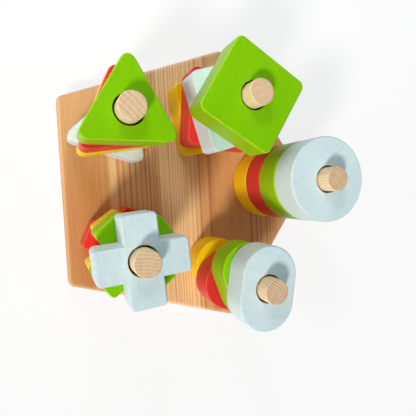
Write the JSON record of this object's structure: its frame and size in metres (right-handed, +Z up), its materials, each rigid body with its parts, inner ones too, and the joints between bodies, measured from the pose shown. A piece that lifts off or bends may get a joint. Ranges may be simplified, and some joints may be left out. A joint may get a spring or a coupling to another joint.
{
  "type": "stacking shape board",
  "caption": "Pentagon wooden board with upright dowels, each stacked with drilled, stained wooden blocks of one shape (triangle, square, disc, oval or cross) that lift off.",
  "frame": {"origin": "centre of the pentagon board's underside", "axes": "+Z up out of the board; +X from the centre towards the corner that carries the disc stack"},
  "size_m": [0.18, 0.1888, 0.0986],
  "materials": {
    "pine": "oiled, satin",
    "beech_dowel": "bare, sanded",
    "green_stain": "stained, satin lacquer",
    "red_stain": "stained, satin lacquer",
    "yellow_stain": "stained, satin lacquer",
    "pale_blue_stain": "stained, satin lacquer"
  },
  "bodies": {
    "board": {"base_board": "pine", "peg_triangle": "beech_dowel", "peg_square": "beech_dowel", "peg_disc": "beech_dowel", "peg_oval": "beech_dowel", "peg_cross": "beech_dowel"},
    "pale_blue_triangle": {"pale_blue_triangle": "pale_blue_stain"},
    "yellow_triangle": {"yellow_triangle": "yellow_stain"},
    "red_triangle": {"red_triangle": "red_stain"},
    "green_triangle": {"green_triangle": "green_stain"},
    "yellow_square": {"yellow_square": "yellow_stain"},
    "red_square": {"red_square": "red_stain"},
    "pale_blue_square": {"pale_blue_square": "pale_blue_stain"},
    "green_square": {"green_square": "green_stain"},
    "yellow_disc": {"yellow_disc": "yellow_stain"},
    "red_disc": {"red_disc": "red_stain"},
    "green_disc": {"green_disc": "green_stain"},
    "pale_blue_disc": {"pale_blue_disc": "pale_blue_stain"},
    "yellow_oval": {"yellow_oval": "yellow_stain"},
    "red_oval": {"red_oval": "red_stain"},
    "green_oval": {"green_oval": "green_stain"},
    "pale_blue_oval": {"pale_blue_oval": "pale_blue_stain"},
    "red_cross": {"red_cross": "red_stain"},
    "yellow_cross": {"yellow_cross": "yellow_stain"},
    "green_cross": {"green_cross": "green_stain"},
    "pale_blue_cross": {"pale_blue_cross": "pale_blue_stain"}
  },
  "joints": [
    {"name": "pale_blue_triangle_lift", "type": "slide", "parent": "board", "child": "pale_blue_triangle", "axis": [0, 0, 1], "range_m": [0, 0.09]},
    {"name": "yellow_triangle_lift", "type": "slide", "parent": "pale_blue_triangle", "child": "yellow_triangle", "axis": [0, 0, 1], "range_m": [0, 0.07]},
    {"name": "red_triangle_lift", "type": "slide", "parent": "yellow_triangle", "child": "red_triangle", "axis": [0, 0, 1], "range_m": [0, 0.051]},
    {"name": "green_triangle_lift", "type": "slide", "parent": "red_triangle", "child": "green_triangle", "axis": [0, 0, 1], "range_m": [0, 0.032]},
    {"name": "yellow_square_lift", "type": "slide", "parent": "board", "child": "yellow_square", "axis": [0, 0, 1], "range_m": [0, 0.09]},
    {"name": "red_square_lift", "type": "slide", "parent": "yellow_square", "child": "red_square", "axis": [0, 0, 1], "range_m": [0, 0.07]},
    {"name": "pale_blue_square_lift", "type": "slide", "parent": "red_square", "child": "pale_blue_square", "axis": [0, 0, 1], "range_m": [0, 0.051]},
    {"name": "green_square_lift", "type": "slide", "parent": "pale_blue_square", "child": "green_square", "axis": [0, 0, 1], "range_m": [0, 0.032]},
    {"name": "yellow_disc_lift", "type": "slide", "parent": "board", "child": "yellow_disc", "axis": [0, 0, 1], "range_m": [0, 0.09]},
    {"name": "red_disc_lift", "type": "slide", "parent": "yellow_disc", "child": "red_disc", "axis": [0, 0, 1], "range_m": [0, 0.07]},
    {"name": "green_disc_lift", "type": "slide", "parent": "red_disc", "child": "green_disc", "axis": [0, 0, 1], "range_m": [0, 0.051]},
    {"name": "pale_blue_disc_lift", "type": "slide", "parent": "green_disc", "child": "pale_blue_disc", "axis": [0, 0, 1], "range_m": [0, 0.032]},
    {"name": "yellow_oval_lift", "type": "slide", "parent": "board", "child": "yellow_oval", "axis": [0, 0, 1], "range_m": [0, 0.09]},
    {"name": "red_oval_lift", "type": "slide", "parent": "yellow_oval", "child": "red_oval", "axis": [0, 0, 1], "range_m": [0, 0.07]},
    {"name": "green_oval_lift", "type": "slide", "parent": "red_oval", "child": "green_oval", "axis": [0, 0, 1], "range_m": [0, 0.051]},
    {"name": "pale_blue_oval_lift", "type": "slide", "parent": "green_oval", "child": "pale_blue_oval", "axis": [0, 0, 1], "range_m": [0, 0.032]},
    {"name": "red_cross_lift", "type": "slide", "parent": "board", "child": "red_cross", "axis": [0, 0, 1], "range_m": [0, 0.09]},
    {"name": "yellow_cross_lift", "type": "slide", "parent": "red_cross", "child": "yellow_cross", "axis": [0, 0, 1], "range_m": [0, 0.07]},
    {"name": "green_cross_lift", "type": "slide", "parent": "yellow_cross", "child": "green_cross", "axis": [0, 0, 1], "range_m": [0, 0.051]},
    {"name": "pale_blue_cross_lift", "type": "slide", "parent": "green_cross", "child": "pale_blue_cross", "axis": [0, 0, 1], "range_m": [0, 0.032]}
  ]
}
